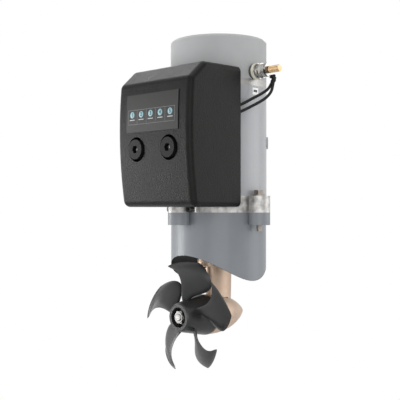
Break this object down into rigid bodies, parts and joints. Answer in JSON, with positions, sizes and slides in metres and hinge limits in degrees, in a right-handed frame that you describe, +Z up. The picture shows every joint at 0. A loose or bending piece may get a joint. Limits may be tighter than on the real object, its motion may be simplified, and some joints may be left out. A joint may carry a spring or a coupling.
{
  "type": "bow thruster",
  "caption": "Electric bow thruster: motor with control box on a saddle bracket, bronze gear leg and a swept-blade propeller that turns inside a tunnel to push a boat's bow sideways.",
  "frame": {"origin": "where the drive shaft's axis crosses the propeller shaft's axis, on the tunnel's centreline", "axes": "+Z up along the drive shaft to the motor, -Y along the propeller shaft the way the propeller faces, +X towards the battery stud"},
  "size_m": [0.1669, 0.1783, 0.3703],
  "materials": {
    "bracket_paint": "grey-blue satin paint",
    "motor_paint": "light grey satin paint",
    "flange_casting": "bare casting",
    "machined_steel": "turned",
    "zinc_steel": "zinc plated",
    "black_steel": "blackened",
    "iron": "bare",
    "copper": "bare copper",
    "brass": "bare",
    "tinned_copper": "tinned",
    "phenolic": "moulded",
    "carbon": "pressed",
    "cream_plastic": "moulded",
    "black_rubber": "moulded",
    "cover_plastic": "fine grained",
    "panel_plastic": "smooth film",
    "knob_plastic": "moulded",
    "contactor_can": "black",
    "board_green": "solder resist",
    "bronze_casting": "sand cast",
    "propeller_plastic": "moulded",
    "nut_steel": "stainless"
  },
  "bodies": {
    "frame": {"motor_bracket": "bracket_paint", "motor_flange": "flange_casting", "motor_bolts": "zinc_steel", "motor_yoke": "motor_paint", "pole_shoes": "iron", "field_coils": "copper", "pole_screws": "motor_paint", "end_cap_ring": "machined_steel", "motor_end_cap": "motor_paint", "tie_bolts": "zinc_steel", "drive_end_bearing": "machined_steel", "cap_bearing": "machined_steel", "brush_holder": "phenolic", "brushes": "carbon", "brush_springs": "machined_steel", "stud_insulator": "cream_plastic", "stud_gasket": "black_rubber", "battery_stud": "brass", "stud_washers": "zinc_steel", "stud_nuts": "zinc_steel", "ring_terminals": "tinned_copper", "sense_lead_upper": "black_rubber", "sense_lead_lower": "black_rubber", "control_box_cover": "cover_plastic", "front_panel": "panel_plastic", "cover_screws": "knob_plastic", "control_box_base": "cover_plastic", "base_bracket": "zinc_steel", "base_screws": "black_steel", "contactors": "contactor_can", "contactor_terminals": "brass", "bus_bar": "copper", "controller_board": "board_green", "gear_leg": "bronze_casting", "leg_bolts": "zinc_steel", "leg_bearing": "machined_steel", "leg_seal": "black_rubber", "needle_bearing": "machined_steel", "bearing_carrier": "bronze_casting", "propeller_bearing": "machined_steel", "propeller_seal": "black_rubber", "nose_bush": "brass"},
    "drive": {"armature_shaft": "machined_steel", "armature_core": "iron", "armature_windings": "copper", "commutator": "copper", "motor_coupling": "iron", "coupling_spider": "black_rubber", "leg_coupling": "iron", "drive_shaft": "machined_steel", "bevel_pinion": "machined_steel"},
    "propeller_set": {"bevel_gear": "machined_steel", "propeller_shaft": "machined_steel", "drive_pin": "machined_steel", "propeller": "propeller_plastic", "propeller_washer": "nut_steel", "propeller_nut": "nut_steel"},
    "plunger_left": {"contactor_plunger_left": "iron"},
    "plunger_right": {"contactor_plunger_right": "iron"}
  },
  "joints": [
    {"name": "drive_spin", "type": "hinge", "parent": "frame", "child": "drive", "pos_m": [0, 0, 0], "axis": [0, 0, 1], "continuous": true},
    {"name": "propeller_spin", "type": "hinge", "parent": "frame", "child": "propeller_set", "pos_m": [0, 0, 0], "axis": [0, 1, 0], "continuous": true},
    {"name": "plunger_left_slide", "type": "slide", "parent": "frame", "child": "plunger_left", "axis": [0, 0, 1], "range_m": [0, 0.0025], "stiffness_N_per_m": 400, "springref_m": -0.002},
    {"name": "plunger_right_slide", "type": "slide", "parent": "frame", "child": "plunger_right", "axis": [0, 0, 1], "range_m": [0, 0.0025], "stiffness_N_per_m": 400, "springref_m": -0.002}
  ],
  "couplings": [
    {"joint": "propeller_spin", "follows": "drive_spin", "ratio": 0.66667}
  ]
}
